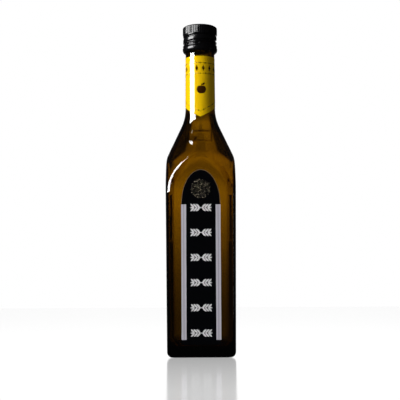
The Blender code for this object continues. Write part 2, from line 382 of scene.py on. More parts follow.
# %% Rows of the bottle
PUNT_ROWS = 5
HEEL_ROWS = 10
BEAD_ROWS = 14
LIP_ROWS = 4
THREAD_FOOT = 2.6 * MM
GLASS_SHARP = 60.0


def glass_angles():
    eighth = steps(0.0, 29.0, 29) + steps(29.0, 37.0, 6)[1:] + steps(37.0, 45.0, 10)[1:]
    quarter = [-step for step in reversed(eighth[1:-1])] + eighth
    return [FRONT + side * math.pi / 2 + math.radians(step) for side in range(4) for step in quarter]


def outside_rows(angles):
    punt_half = face_half(0.0) - HEEL_R - REST_BAND
    rows = []
    for share in steps(0.0, 1.0, PUNT_ROWS):
        lift = PUNT_RISE * (1 - share**2)
        rows.append(square_ring(angles, lift, punt_half - PUNT_SLOPE * (1 - share), CORNER_R))
    for turn in steps(0.0, math.pi / 2, HEEL_ROWS):
        inset = HEEL_R * (1 - math.sin(turn))
        z = HEEL_R * (1 - math.cos(turn))
        rows.append(square_ring(angles, z, face_half(z) - inset, max(CORNER_R - inset, CORNER_R / 2)))
    heights = steps(HEEL_R + 0.5 * MM, OGIVE_END_Z, 8) + steps(OGIVE_END_Z + MM, 182 * MM, 60)
    heights += steps(183 * MM, RELIEF_LOW_Z - 0.5 * MM, 8) + steps(RELIEF_LOW_Z, RELIEF_HIGH_Z, 34)
    heights += steps(RELIEF_HIGH_Z + MM, 221 * MM, 22) + steps(224 * MM, NECK_TOP_Z, 6)
    for z in heights:
        rows.append(ring_at(angles, z, lambda angle: glass_radius(angle, z) + relief(angle, z)))
    middle = (BEAD_LOW_Z + BEAD_HIGH_Z) / 2
    reach = middle - NECK_TOP_Z - 0.3 * MM
    for turn in steps(-1.0, 1.0, BEAD_ROWS):
        bulge = (BEAD_R - NECK_TOP_R) * (1 - turn**4)
        rows.append(ring_at(angles, middle + reach * turn, NECK_TOP_R + bulge))
    rows.append(ring_at(angles, BEAD_HIGH_Z + THREAD_FOOT, FINISH_R))
    for turn in steps(0.0, math.pi / 2, LIP_ROWS):
        z = MOUTH_Z - LIP_R * (1 - math.sin(turn))
        rows.append(ring_at(angles, z, FINISH_R - LIP_R * (1 - math.cos(turn))))
    return rows


def hollow_rows(angles, wall, bore, floor_z, top_z):
    heights = [top_z] + steps(224 * MM, 200 * MM, 16) + steps(198 * MM, 180 * MM, 6)
    heights += steps(179 * MM, OGIVE_END_Z, 40) + steps(100 * MM, floor_z + INNER_HEEL_R, 3)
    rows = []
    for z in heights:
        rows.append(ring_at(angles, z, lambda angle: inner_radius(angle, z, wall, bore)))
    for turn in steps(math.pi / 2, 0.0, 8)[1:]:
        inset = INNER_HEEL_R * (1 - math.sin(turn))
        z = floor_z + INNER_HEEL_R * (1 - math.cos(turn))
        corner = max(INNER_CORNER_R - inset, MM)
        rows.append(square_ring(angles, z, face_half(z) - wall - inset, corner))
    return rows


angles = glass_angles()
print("each row of the glass has", len(angles), "points")

# %% [markdown]
# ## One closed skin of glass
# A wall of glass bends light twice, on its outside and on its inside, so both are needed. A Solidify
# modifier could add the inside, but it would copy every edge of the outside. Here the outer rows run
# over the lip and on down the inner rows, and one closed skin holds the glass.

# %% Build the bottle
bottle_rows = outside_rows(angles)
bottle_rows.append(ring_at(angles, MOUTH_Z, BORE_R + LIP_R))
bottle_rows += hollow_rows(angles, WALL, BORE_R, BASE_THICKNESS, MOUTH_Z - LIP_R)
bottle_mesh = skin("bottle", bottle_rows, (0, 0, PUNT_RISE), (0, 0, BASE_THICKNESS))
bottle = add_piece("bottle", bottle_mesh, amber_glass, sharp=GLASS_SHARP)
settle(bottle, "amber_glass", "glass_bottle")

# %% [markdown]
# ## The vinegar
# A liquid that stops exactly at the glass leaves a hair of air that shines like silver. The usual
# cure is to let it reach a little way into the wall. Its level stands in the neck behind the label,
# with a small meniscus that climbs the glass.

# %% Build the vinegar
INTO_WALL = 0.3 * MM
MENISCUS = 0.8 * MM
fill_z = vinegar_high.z - MENISCUS
liquid_wall = WALL - INTO_WALL
liquid_bore = BORE_R + INTO_WALL
vinegar_rows = []
for share in steps(0.2, 1.0, 6):
    z = fill_z + MENISCUS * share**6
    vinegar_rows.append(ring_at(angles, z, liquid_bore * share))
vinegar_rows += hollow_rows(angles, liquid_wall, liquid_bore, BASE_THICKNESS - INTO_WALL, fill_z - MM)
vinegar_rows.reverse()
floor_point = (0, 0, BASE_THICKNESS - INTO_WALL)
vinegar_mesh = skin("vinegar_fill", vinegar_rows, floor_point, (0, 0, fill_z))
vinegar = add_piece("vinegar_fill", vinegar_mesh, vinegar_finish, sharp=GLASS_SHARP)
settle(vinegar, "vinegar", "vinegar")

# %% [markdown]
# ## Black lacquered metal
# The cap is thin sheet, lacquered black before it is rolled on. The lacquer is satin with a slight
# orange peel, and it is a little rougher in places, so the roughness is driven by noise.

# %% Cap material
LACQUER_SMOOTHEST = 0.12
LACQUER_ROUGHEST = 0.22
black_lacquer, lacquer_shader = new_material("black lacquer", (0.003, 0.003, 0.0035), 0.16)
lacquer_shader.inputs["Specular IOR Level"].default_value = 0.28
lacquer_noise = noise_bump(black_lacquer, lacquer_shader, 900.0, 0.015 * MM)
spread = {"Value": lacquer_noise, "To Min": LACQUER_SMOOTHEST, "To Max": LACQUER_ROUGHEST}
lacquer_rough = new_node(black_lacquer.node_tree, "ShaderNodeMapRange", spread)
drive(black_lacquer, lacquer_rough.outputs["Result"], lacquer_shader, "Roughness")
print("the lacquer's roughness lies between", LACQUER_SMOOTHEST, "and", LACQUER_ROUGHEST)

# %% [markdown]
# ## The thread of the cap
# The blank cap is a plain cup. Rollers press it into the thread of the glass once it is on the
# bottle, and leave a right-hand helix of about one and a half turns in its side. A screw modifier
# makes a helix too, but as a separate body. A dip in the radius can be carried by the cap's own rows.

# %% Sizes and thread of the cap
CAP_TOP_Z = cap_high.z
CAP_LOW_Z = cap_low.z
CAP_R = 15.6 * MM
KNURL_DEPTH = 0.35 * MM
CAP_BAND_R = 15.3 * MM
CAP_GROOVE_R = 14.3 * MM
CAP_EDGE_R = 2.2 * MM
CAP_WALL = 0.6 * MM
KNURL_LOW_Z = 289.6 * MM
THREAD_PITCH = 4.9 * MM
THREAD_TOP_Z = 289.2 * MM
THREAD_START = 0.2
THREAD_TURNS = 1.45
THREAD_DEPTH = 1.25 * MM
THREAD_HALF_WIDTH = 0.65 * MM
THREAD_PASSES = 4
THREAD_FADE = 12
STEP_HEIGHT = 0.4 * MM
CAP_SIDES = 288
METAL_SHARP = 50.0


def thread_dip(angle, z):
    """How deep the rollers press at a place. The dip fades out at both ends of the helix."""
    turned = (angle / (2 * math.pi)) % 1.0
    dip = 0.0
    for turn in range(THREAD_PASSES):
        below = turned - turn
        away = (z - THREAD_TOP_Z - below * THREAD_PITCH) / THREAD_HALF_WIDTH
        fade = min((below + THREAD_TURNS) * THREAD_FADE, (THREAD_START - below) * THREAD_FADE, 1.0)
        dip = max(dip, fade / (1.0 + away**4))
    return THREAD_DEPTH * dip


print("the thread runs from", round(THREAD_TOP_Z / MM, 1), "mm down,", THREAD_PITCH / MM, "mm a turn")

# %% [markdown]
# ## The shell of the cap
# The rows start in the middle of the top, turn over its rounded edge, pass under the knurls and go
# down the side with the thread. At the foot they fold in and run back up inside, so that the sheet
# has a thickness wherever light can get at it.

# %% Build the cap shell
cap_angles = [FRONT + step * 2 * math.pi / CAP_SIDES for step in range(CAP_SIDES)]
valley_r = CAP_R - KNURL_DEPTH
cap_rows = [ring_at(cap_angles, CAP_TOP_Z, share * (CAP_R - CAP_EDGE_R)) for share in (0.3, 0.8)]
for turn in steps(math.pi / 2, 0.0, 8):
    z = CAP_TOP_Z - CAP_EDGE_R * (1 - math.sin(turn))
    cap_rows.append(ring_at(cap_angles, z, valley_r - CAP_EDGE_R * (1 - math.cos(turn))))
for z in steps(CAP_TOP_Z - CAP_EDGE_R - MM, KNURL_LOW_Z + 0.6 * MM, 4):
    cap_rows.append(ring_at(cap_angles, z, valley_r))
for z in steps(KNURL_LOW_Z + STEP_HEIGHT, CAP_LOW_Z + 1.3 * MM, 44):
    step_in = (valley_r - CAP_BAND_R) * min(max((z - KNURL_LOW_Z) / STEP_HEIGHT, 0.0), 1.0)
    cap_rows.append(ring_at(cap_angles, z, lambda angle: CAP_BAND_R + step_in - thread_dip(angle, z)))
for share in steps(0.0, 1.0, 5):
    z = CAP_LOW_Z + (1.1 - 0.8 * share) * MM
    sweep = (1 - math.cos(math.pi * share)) / 2
    cap_rows.append(ring_at(cap_angles, z, CAP_BAND_R + (CAP_GROOVE_R - CAP_BAND_R) * sweep))
cap_rows.append(ring_at(cap_angles, CAP_LOW_Z, CAP_GROOVE_R))
cap_bore = CAP_GROOVE_R - CAP_WALL
cap_rows.append(ring_at(cap_angles, CAP_LOW_Z, cap_bore))
cap_rows.append(ring_at(cap_angles, CAP_TOP_Z - CAP_WALL, cap_bore))
cap_rows.reverse()
cap_mesh = skin("cap_shell", cap_rows, (0, 0, CAP_TOP_Z - CAP_WALL), (0, 0, CAP_TOP_Z))
cap_shell = add_piece("cap_shell", cap_mesh, black_lacquer, sharp=METAL_SHARP)
settle(cap_shell, "black_cap", "screw_cap")

# %% [markdown]
# ## Geometry Nodes for what repeats
# Knurls, bridges, foil beads and printed ornaments are all one small shape set out by a rule. They
# could be copied in a Python loop, but a tree keeps the rule and its sizes in one place. One helper
# starts a tree with named inputs, and another turns its evaluated result into a plain mesh, because
# instances are lost when the model is exported.

# %% Helpers for Geometry Nodes
def start_tree(name, inputs):
    """A node group with one geometry output and the named inputs, given as name to socket kind."""
    tree = bpy.data.node_groups.new(name, "GeometryNodeTree")
    tree.interface.new_socket("Geometry", in_out="OUTPUT", socket_type="NodeSocketGeometry")
    for label, kind in inputs.items():
        tree.interface.new_socket(label, in_out="INPUT", socket_type="NodeSocket" + kind)
    entry = tree.nodes.new("NodeGroupInput")
    return tree, entry


def end_tree(tree, geometry, finish):
    real = new_node(tree, "GeometryNodeRealizeInstances", {"Geometry": geometry})
    paint = new_node(tree, "GeometryNodeSetMaterial", {"Geometry": real.outputs[0], "Material": finish})
    new_node(tree, "NodeGroupOutput", {0: paint.outputs[0]})


def grow(name, tree, values, finish, sharp=35.0):
    """Run a tree once on an empty mesh and keep the result as a plain piece."""
    holder = bpy.data.objects.new(name + "_source", bpy.data.meshes.new(name + "_source"))
    bpy.context.scene.collection.objects.link(holder)
    modifier = holder.modifiers.new("set out", "NODES")
    modifier.node_group = tree
    sockets = {item.name: item.identifier for item in tree.interface.items_tree if item.in_out == "INPUT"}
    for label, value in values.items():
        modifier[sockets[label]] = value
    holder.update_tag()
    seen = bpy.context.evaluated_depsgraph_get()
    mesh = bpy.data.meshes.new_from_object(holder.evaluated_get(seen), depsgraph=seen)
    mesh.name = name
    bpy.data.objects.remove(holder, do_unlink=True)
    mesh.shade_smooth()
    return add_piece(name, mesh, finish, sharp)


def hidden_shape(name, mesh):
    """A small shape for a tree to repeat. It is removed again once the tree has run."""
    shape = bpy.data.objects.new(name, mesh)
    bpy.context.scene.collection.objects.link(shape)
    return shape


# %% [markdown]
# ## A tree for rings
# Knurls and bridges go round the cap. A circle gives one point for each, every copy is turned to face
# outwards, and the ring is lifted to its height. An Array modifier could turn copies too, but here
# the count, the radius and the height stay open as inputs, so one tree serves both.

# %% Tree that sets a shape out in a ring
ALIGN = "FunctionNodeAlignRotationToVector"


def ring_tree(finish):
    inputs = {"Shape": "Object", "Count": "Int", "Radius": "Float", "Height": "Float"}
    tree, entry = start_tree("ring of shapes", inputs)
    rim = {"Vertices": entry.outputs["Count"], "Radius": entry.outputs["Radius"]}
    circle = new_node(tree, "GeometryNodeMeshCircle", rim)
    place = new_node(tree, "GeometryNodeInputPosition")
    facing = new_node(tree, ALIGN, {"Vector": place.outputs[0]}, axis="X", pivot_axis="Z")
    shape = new_node(tree, "GeometryNodeObjectInfo", {"Object": entry.outputs["Shape"]})
    setting = {"Points": circle.outputs[0], "Instance": shape.outputs["Geometry"]}
    setting["Rotation"] = facing.outputs[0]
    copies = new_node(tree, "GeometryNodeInstanceOnPoints", setting)
    lift = new_node(tree, "ShaderNodeCombineXYZ", {"Z": entry.outputs["Height"]})
    moves = {"Instances": copies.outputs[0], "Translation": lift.outputs[0], "Local Space": False}
    raised = new_node(tree, "GeometryNodeTranslateInstances", moves)
    end_tree(tree, raised.outputs[0], finish)
    return tree


rings = ring_tree(black_lacquer)
print("the tree for rings has", len(rings.nodes), "nodes")

# %% [markdown]
# ## One rib and one bridge
# A rolled knurl isn't a plain bar: it has two low flanks and a narrow crown, which draw fine bright
# lines on the cap. It is one section skinned through a few heights, and it sinks in at both ends. A
# bridge is a small block with bevelled edges.

# %% Shapes of a rib and a bridge
def rounded_bar(name, depth, width, height, bevel):
    shape = bmesh.new()
    bmesh.ops.create_cube(shape, size=1.0)
    bmesh.ops.scale(shape, vec=(depth, width, height), verts=shape.verts)
    edges = list(shape.edges)
    bmesh.ops.bevel(shape, geom=edges, offset=bevel, segments=3, profile=0.5, affect="EDGES")
    mesh = bpy.data.meshes.new(name)
    shape.to_mesh(mesh)
    shape.free()
    return mesh


def gabled_rib(name, height):
    """An upright rib that faces +X, with two low flanks and a narrow crown."""
    section = [(-0.3, -0.95), (0.42, -0.95), (0.67, -0.25), (0.7, 0.0)]
    section += [(x, -y) for x, y in reversed(section[:-1])]
    levels = [(-height / 2, 0.25), (0.35 * MM - height / 2, 0.0), (height / 2 - 0.9 * MM, 0.0)]
    levels += [(height / 2 - 0.35 * MM, 0.12), (height / 2, 0.35)]
    rows = []
    for z, sunk in levels:
        rows.append([((x - (sunk if x > 0 else 0.0)) * MM, y * MM, z) for x, y in section])
    return skin(name, rows, (0, 0, -height / 2), (0, 0, height / 2))


# %% [markdown]
# ## Knurls and bridges
# Forty-eight upright ribs give the fingers a grip. Each is sunk into the band so that only its crown
# stands out. Between the cap and the ring below it, narrow bridges hold the two together until the
# first opening. Both are rings of one shape, so both come from the same tree.

# %% Build the knurls and bridges
KNURL_COUNT = 48
knurl_top = CAP_TOP_Z - 0.9 * MM
knurl_height = knurl_top - KNURL_LOW_Z - 0.1 * MM
rib = hidden_shape("rib", gabled_rib("rib", knurl_height))
knurl_values = {
    "Shape": rib,
    "Count": KNURL_COUNT,
    "Radius": CAP_R - 0.7 * MM,
    "Height": KNURL_LOW_Z + knurl_height / 2,
}
cap_knurls = grow("cap_knurls", rings, knurl_values, black_lacquer, sharp=16.0)
settle(cap_knurls, "black_cap", "screw_cap")
bpy.data.objects.remove(rib, do_unlink=True)

BRIDGE_COUNT = 12
bridge = hidden_shape("bridge", rounded_bar("bridge", 0.5 * MM, 1.3 * MM, 1.0 * MM, 0.12 * MM))
bridge_values = {
    "Shape": bridge,
    "Count": BRIDGE_COUNT,
    "Radius": CAP_GROOVE_R - 0.2 * MM,
    "Height": (CAP_LOW_Z + ring_high.z) / 2,
}
cap_bridges = grow("cap_bridges", rings, bridge_values, black_lacquer)
settle(cap_bridges, "black_cap")
bpy.data.objects.remove(bridge, do_unlink=True)

# %% [markdown]
# ## The ring that stays behind
# The lower ring is the same sheet, bulged over the bead of the neck and curled in under it, so that
# it can't follow the cap. Its profile is listed as shares of its height with a radius for each, as a
# turner would note it, and then turned round the axis.

# %% Build the ring
RING_BORE = 14.3 * MM
ring_height = ring_high.z - ring_low.z
ring_profile = [(1.0, 14.35), (0.97, 14.75), (0.93, 15.2), (0.87, 15.5), (0.79, 15.52), (0.72, 15.2)]
ring_profile += [(0.68, 15.05), (0.64, 15.2), (0.58, 15.6), (0.5, 15.74), (0.42, 15.75)]
ring_profile += [(0.32, 15.72), (0.2, 15.6), (0.1, 15.3), (0.03, 14.95), (0.0, 14.75), (0.0, 14.6)]
ring_rows = [ring_at(cap_angles, ring_low.z + ring_height * share, r * MM) for share, r in ring_profile]
ring_rows.append(ring_at(cap_angles, ring_high.z - 0.02 * ring_height, RING_BORE))
ring_rows.reverse()
ring_mesh = skin("cap_ring", ring_rows, closed=True)
ring_piece = add_piece("cap_ring", ring_mesh, black_lacquer, sharp=METAL_SHARP)
settle(ring_piece, "black_cap", "cap_security_ring")

# %% [markdown]
# ## The neck label
# The label is a strip of yellow paper with a clear gloss varnish, wrapped right round the neck. Its
# lower edge runs down to a point at the front. The paper follows the formula of the glass, so it sits
# on the neck and on the start of the shoulder with no gap. The varnish is the shader's coat.

# %% Label material
yellow_paper, paper_shader = new_material("yellow paper", (0.9, 0.58, 0.002), 0.45)
paper_shader.inputs["Specular IOR Level"].default_value = 0.0
paper_shader.inputs["Coat Weight"].default_value = 1.0
paper_shader.inputs["Coat Roughness"].default_value = 0.07
paper_shader.inputs["Coat IOR"].default_value = 1.6
paper_noise = noise_bump(yellow_paper, paper_shader, 1400.0, 0.01 * MM, stretch=(1.0, 1.0, 0.5), detail=4.0)
paper_tones = [(0.0, (0.84, 0.515, 0.001)), (1.0, (0.93, 0.58, 0.003))]
paper_colour = colour_ramp(yellow_paper.node_tree, paper_noise, paper_tones)
drive(yellow_paper, paper_colour, paper_shader, "Base Color")
print("the paper lies between", paper_tones[0][1], "and", paper_tones[1][1])

# %% [markdown]
# ## The paper
# The paper is an outer and an inner sheet of rows, joined all round. The rows are shared out between
# the pointed lower edge and the straight upper one, so they fan out towards the point. A plain tube
# could be cut to the point instead, but it would leave ragged faces along the cut.

# %% Build the neck label
LABEL_LIFT = 0.03 * MM
LABEL_THICKNESS = 0.1 * MM
LABEL_TOP_Z = neck_label_high.z
LABEL_POINT_Z = neck_label_low.z
LABEL_SIDE_Z = 224.6 * MM
LABEL_SIDES = 240


def label_foot(around):
    """Height of the lower edge at an angle from the front."""
    share = min(abs(around) / (math.pi / 2), 1.0)
    return LABEL_POINT_Z + (LABEL_SIDE_Z - LABEL_POINT_Z) * share


def label_point(around, z, lift):
    r = glass_radius(FRONT + around, z) + lift
    return (r * math.sin(around), -r * math.cos(around), z)


def label_row(share, lift):
    row = []
    for step in range(LABEL_SIDES):
        around = (step / LABEL_SIDES * 2 - 1) * math.pi
        foot = label_foot(around)
        row.append(label_point(around, foot + (LABEL_TOP_Z - foot) * share, lift))
    return row


label_shares = steps(0.0, 0.3, 14) + steps(0.34, 1.0, 10)
label_rows = [label_row(share, LABEL_LIFT + LABEL_THICKNESS) for share in label_shares]
label_rows += [label_row(share, LABEL_LIFT) for share in reversed(label_shares)]
paper_mesh = skin("neck_label_paper", label_rows, closed=True)
neck_label = add_piece("neck_label_paper", paper_mesh, yellow_paper)
settle(neck_label, "yellow_label", "neck_label")

# %% [markdown]
# ## Foil and ink on the label
# Two rows of bronze foil beads run round the label and a third follows its pointed edge. Between the
# upper rows stands a band of plain lozenges in dark red ink, and below it a small apple. Foil is a
# real metal film, so its shader is metallic. The ink lies under the varnish: it has no shine of its
# own, only that of the coat.

# %% Foil and ink materials
bronze_foil, foil_shader = new_material("bronze foil", (0.3, 0.15, 0.04), 0.22, metallic=1.0)
noise_bump(bronze_foil, foil_shader, 2500.0, 0.02 * MM)
maroon_ink, ink_shader = new_material("maroon ink", (0.04, 0.012, 0.001), 0.4)
ink_shader.inputs["Specular IOR Level"].default_value = 0.0
ink_shader.inputs["Coat Weight"].default_value = 1.0
ink_shader.inputs["Coat Roughness"].default_value = 0.04
noise_bump(maroon_ink, ink_shader, 1800.0, 0.008 * MM)
print("finishes of the label:", bronze_foil.name, "and", maroon_ink.name)

# %% [markdown]
# ## A tree for shapes that lie on a surface
# A bead on curved paper needs two directions, one out of the paper and one along it. They are stored
# on each point with the size of its copy, and the tree reads them back by name. Scattering on the
# paper's faces would find the outward direction by itself, but not the even steps of a printed rule.

# %% Tree that lays a shape on points with directions
def stored(tree, label):
    """A vector that was stored on the points under a name."""
    name = {"Name": label}
    return new_node(tree, "GeometryNodeInputNamedAttribute", name, data_type="FLOAT_VECTOR").outputs[0]


def laid_tree(finish):
    tree, entry = start_tree("shapes laid on points", {"Points": "Object", "Shape": "Object"})
    points = new_node(tree, "GeometryNodeObjectInfo", {"Object": entry.outputs["Points"]})
    shape = new_node(tree, "GeometryNodeObjectInfo", {"Object": entry.outputs["Shape"]})
    stand = new_node(tree, ALIGN, {"Vector": stored(tree, "outward")}, axis="Z")
    turn = {"Rotation": stand.outputs[0], "Vector": stored(tree, "along")}
    facing = new_node(tree, ALIGN, turn, axis="X", pivot_axis="Z")
    setting = {"Points": points.outputs["Geometry"], "Instance": shape.outputs["Geometry"]}
    setting["Rotation"] = facing.outputs[0]
    setting["Scale"] = stored(tree, "size")
    copies = new_node(tree, "GeometryNodeInstanceOnPoints", setting)
    end_tree(tree, copies.outputs[0], finish)
    return tree


def directed_points(name, entries):
    """Points with the attributes outward, along and size, from (place, outward, along, size)."""
    mesh = bpy.data.meshes.new(name)
    mesh.from_pydata([entry[0] for entry in entries], [], [])
    for column, label in enumerate(("outward", "along", "size"), start=1):
        values = mesh.attributes.new(label, "FLOAT_VECTOR", "POINT")
        for index, entry in enumerate(entries):
            values.data[index].vector = entry[column]
    return hidden_shape(name, mesh)


def lay_out(name, shape_mesh, entries, finish, slot):
    """Lay one shape on many points, keep the result and clear away what it was made from."""
    points = directed_points(name + "_points", entries)
    shape = hidden_shape(name + "_shape", shape_mesh)
    piece = grow(name, laid_tree(finish), {"Points": points, "Shape": shape}, finish)
    bpy.data.objects.remove(points, do_unlink=True)
    bpy.data.objects.remove(shape, do_unlink=True)
    settle(piece, slot)


# %% [markdown]
# ## Places on the paper and the shape of a bead
# A place on the paper comes with its two directions, found from two neighbours a small step away.
# The bead is a flat dome with a low rim. Hundreds of copies are made, so it has only a few faces.

# %% Helpers for beads on the paper
PAPER_TOP = LABEL_LIFT + LABEL_THICKNESS
STEP_UP = 0.2 * MM
STEP_ROUND = 0.02


def on_paper(around, z):
    """Place, outward direction and direction round the neck of a point on the paper."""
    place = Vector(label_point(around, z, PAPER_TOP))
    above = Vector(label_point(around, z + STEP_UP, PAPER_TOP))
    beside = Vector(label_point(around + STEP_ROUND, z, PAPER_TOP))
    return place, (beside - place).cross(above - place).normalized(), beside - place


def bead_shape(name, long, wide, tall, sides=10):
    """A flat dome: a fan of faces over a low rim, closed below."""
    ring = [(math.cos(turn) * long, math.sin(turn) * wide) for turn in steps(0, 2 * math.pi, sides)[:-1]]
    levels = ((1.0, -tall * 0.5), (1.0, 0.0), (0.7, tall * 0.7))
    rows = [[(x * f, y * f, z) for x, y in ring] for f, z in levels]
    return skin(name, rows, (0, 0, -tall * 0.5), (0, 0, tall))


print("foil and ink lie", round(PAPER_TOP / MM, 2), "mm above the glass")

# %% [markdown]
# ## Rules of foil beads
# The rules are stamped in foil. They could be part of a texture, but thin raised beads catch the
# light as foil does, and stay sharp in a close view. Every third bead is stretched to a dash.

# %% Build the foil rules
BEAD_PITCH = 1.6 * MM
DASH_STRETCH = 1.8
DOT_STRETCH = 0.6
UPPER_RULE_Z = 262.1 * MM
LOWER_RULE_Z = 252.5 * MM
POINT_RULE_RISE = 5.2 * MM


def rule_entries(path_z, span):
    """Beads along a path round the neck: every third one is a longer dash."""
    count = int(2 * span * glass_radius(FRONT, path_z(0.0)) / BEAD_PITCH)
    entries = []
    for step in range(count):
        around = -span + 2 * span * (step + 0.5) / count
        z = path_z(around)
        place, outward, along = on_paper(around, z)
        slant = path_z(around + STEP_ROUND) - z
        along = Vector((along.x, along.y, slant))
        long = DASH_STRETCH if step % 3 == 1 else DOT_STRETCH
        entries.append((place, outward, along, (long, 1.0, 1.0)))
    return entries


rules = rule_entries(lambda around: UPPER_RULE_Z, math.pi)
rules += rule_entries(lambda around: LOWER_RULE_Z, math.pi)
rules += rule_entries(lambda around: label_foot(around) + POINT_RULE_RISE, math.pi)
foil_bead = bead_shape("foil_bead", 0.46 * MM, 0.52 * MM, 0.05 * MM)
lay_out("foil_rules", foil_bead, rules, bronze_foil, "yellow_label")

# %% [markdown]
# ## A band of lozenges
# The band between the two rules is printed in dark red ink. A lozenge is the same flat dome as a
# bead, but with four sides, so the same helper and the same tree make it.

# %% Build the lozenge band
LOZENGE_COUNT = 14
BAND_Z = (UPPER_RULE_Z + LOWER_RULE_Z) / 2
lozenges = []
for step in range(LOZENGE_COUNT):
    around = (step + 0.5) * 2 * math.pi / LOZENGE_COUNT - math.pi
    place, outward, along = on_paper(around, BAND_Z)
    lozenges.append((place, outward, along, (1.0, 1.0, 1.0)))
lozenge = bead_shape("lozenge", 1.3 * MM, 2.9 * MM, 0.03 * MM, sides=4)
lay_out("ink_lozenges", lozenge, lozenges, maroon_ink, "yellow_label")

# %% [markdown]
# ## Outlines for an apple
# A small apple says what the bottle holds. Its outline is a circle with one dimple pressed in above
# and one below. The leaf is an arc on each side of its middle line, and the stalk has four corners.
# A drawn curve would do as well, but a rule needs no table of points.

# %% Outlines of the apple
APPLE_R = 4.1
APPLE_STRETCH = 1.02
TOP_DIMPLE = 0.9
FOOT_DIMPLE = 0.3


def apple_outline(count):
    """A heart-topped round with a narrower foot, in millimetres about its middle."""
    outline = []
    for turn in steps(0.0, 2 * math.pi, count)[:-1]:
        rise = math.sin(turn)
        dimple = TOP_DIMPLE * math.exp(-((rise - 1) ** 2) / 0.02)
        dimple += FOOT_DIMPLE * math.exp(-((rise + 1) ** 2) / 0.01)
        r = APPLE_R * (1 + 0.1 * rise) - dimple
        outline.append((r * APPLE_STRETCH * math.cos(turn), r * rise))
    return outline


def leaf_outline(count, long, wide):
    """A leaf along +X with pointed ends, starting at the origin."""
    upper = [(long * share, wide / 2 * math.sin(math.pi * share) ** 0.8) for share in steps(0, 1, count)]
    return upper + [(x, -y) for x, y in reversed(upper[1:-1])]


def turned_outline(outline, angle, x, y):
    c, s = math.cos(angle), math.sin(angle)
    return [(x + c * u - s * v, y + s * u + c * v) for u, v in outline]


stalk = [(-0.25, 3.4), (0.25, 3.4), (0.35, 5.6), (-0.15, 5.6)]
apple_leaf = turned_outline(leaf_outline(8, 3.6, 1.9), 0.6, 0.3, 4.2)
apple_parts = [apple_outline(48), apple_leaf, stalk]
print("corners in the apple, its leaf and its stalk:", [len(part) for part in apple_parts])

# %% [markdown]
# ## A print that bends round the neck
# A flat drawing has to follow the round paper. It is first cut into small triangles, because a long
# edge would dip below the paper, and then each corner is laid on the label. A Shrinkwrap modifier
# could press it on, but the label's own formula gives the exact place.

# %% Build the printed apple
APPLE_Z = 237.5 * MM
APPLE_TURN = 0.08
LONGEST_EDGE = 0.9
SPLITS = 2
INK_HALF = 0.02 * MM


def cut_fine(sheet):
    """Split the long edges twice, so that a flat print can bend."""
    bmesh.ops.triangulate(sheet, faces=sheet.faces)
    for _ in range(SPLITS):
        long_edges = [edge for edge in sheet.edges if edge.calc_length() > LONGEST_EDGE]
        bmesh.ops.subdivide_edges(sheet, edges=long_edges, cuts=1)
        bmesh.ops.triangulate(sheet, faces=[face for face in sheet.faces if len(face.verts) > 3])


def wrapped_print(name, outlines, middle, middle_z, finish):
    """Flat outlines in millimetres, laid on the paper as a thin closed print."""
    sheet = bmesh.new()
    for outline in outlines:
        sheet.faces.new([sheet.verts.new((x, y, 0)) for x, y in outline])
    cut_fine(sheet)
    solid = bmesh.ops.extrude_face_region(sheet, geom=sheet.faces[:], use_keep_orig=True)
    for vert in [item for item in solid["geom"] if isinstance(item, bmesh.types.BMVert)]:
        vert.co.z = 1.0
    for vert in sheet.verts:
        z = middle_z + vert.co.y * MM
        around = middle + vert.co.x * MM / glass_radius(FRONT, middle_z)
        vert.co = label_point(around, z, PAPER_TOP + (INK_HALF if vert.co.z > 0.5 else -INK_HALF))
    bmesh.ops.recalc_face_normals(sheet, faces=sheet.faces)
    mesh = bpy.data.meshes.new(name)
    sheet.to_mesh(mesh)
    sheet.free()
    return add_piece(name, mesh, finish)


ink_apple = wrapped_print("ink_apple", apple_parts, APPLE_TURN, APPLE_Z, maroon_ink)
settle(ink_apple, "yellow_label")

# %% [markdown]
# ## The black panel
# The panel is enamel fired onto the glass: a tall arch with a thin tan line round its top. It is cut
# from one outline and given a thickness of a tenth of a millimetre. Two silver bars run down its
# sides. The silver is a fine metallic ink, brightest along the edges of each bar.

# %% Panel materials
black_enamel, enamel_shader = new_material("black enamel", (0.0012, 0.0014, 0.0022), 0.12)
enamel_shader.inputs["Specular IOR Level"].default_value = 0.35
noise_bump(black_enamel, enamel_shader, 700.0, 0.006 * MM)
tan_line_finish, tan_shader = new_material("tan line", (0.11, 0.06, 0.012), 0.45)
noise_bump(tan_line_finish, tan_shader, 1500.0, 0.01 * MM)
silver_ink, silver_shader = new_material("silver ink", (0.44, 0.42, 0.47), 0.5)
silver_noise = noise_bump(silver_ink, silver_shader, 2200.0, 0.012 * MM)
silver_tones = [(0.0, (0.46, 0.44, 0.5)), (1.0, (0.58, 0.56, 0.62))]
drive(silver_ink, colour_ramp(silver_ink.node_tree, silver_noise, silver_tones), silver_shader, "Base Color")
dull_silver, dull_shader = new_material("dull silver ink", (0.36, 0.35, 0.4), 0.5)
noise_bump(dull_silver, dull_shader, 2200.0, 0.012 * MM)
print("finishes of the panel:", black_enamel.name, tan_line_finish.name, silver_ink.name, dull_silver.name)

# %% [markdown]
# ## Thin plates on the flat front
# The front face is flat but leans a little, since the body widens towards its shoulder. Enamel and
# ink are thin closed plates that follow this lean. A decal texture would be lighter, but a plate has
# a real edge that the light can meet.

# %% Helper that cuts thin flat pieces on the front face
def front_y(z, lift):
    return -face_half(z) - lift


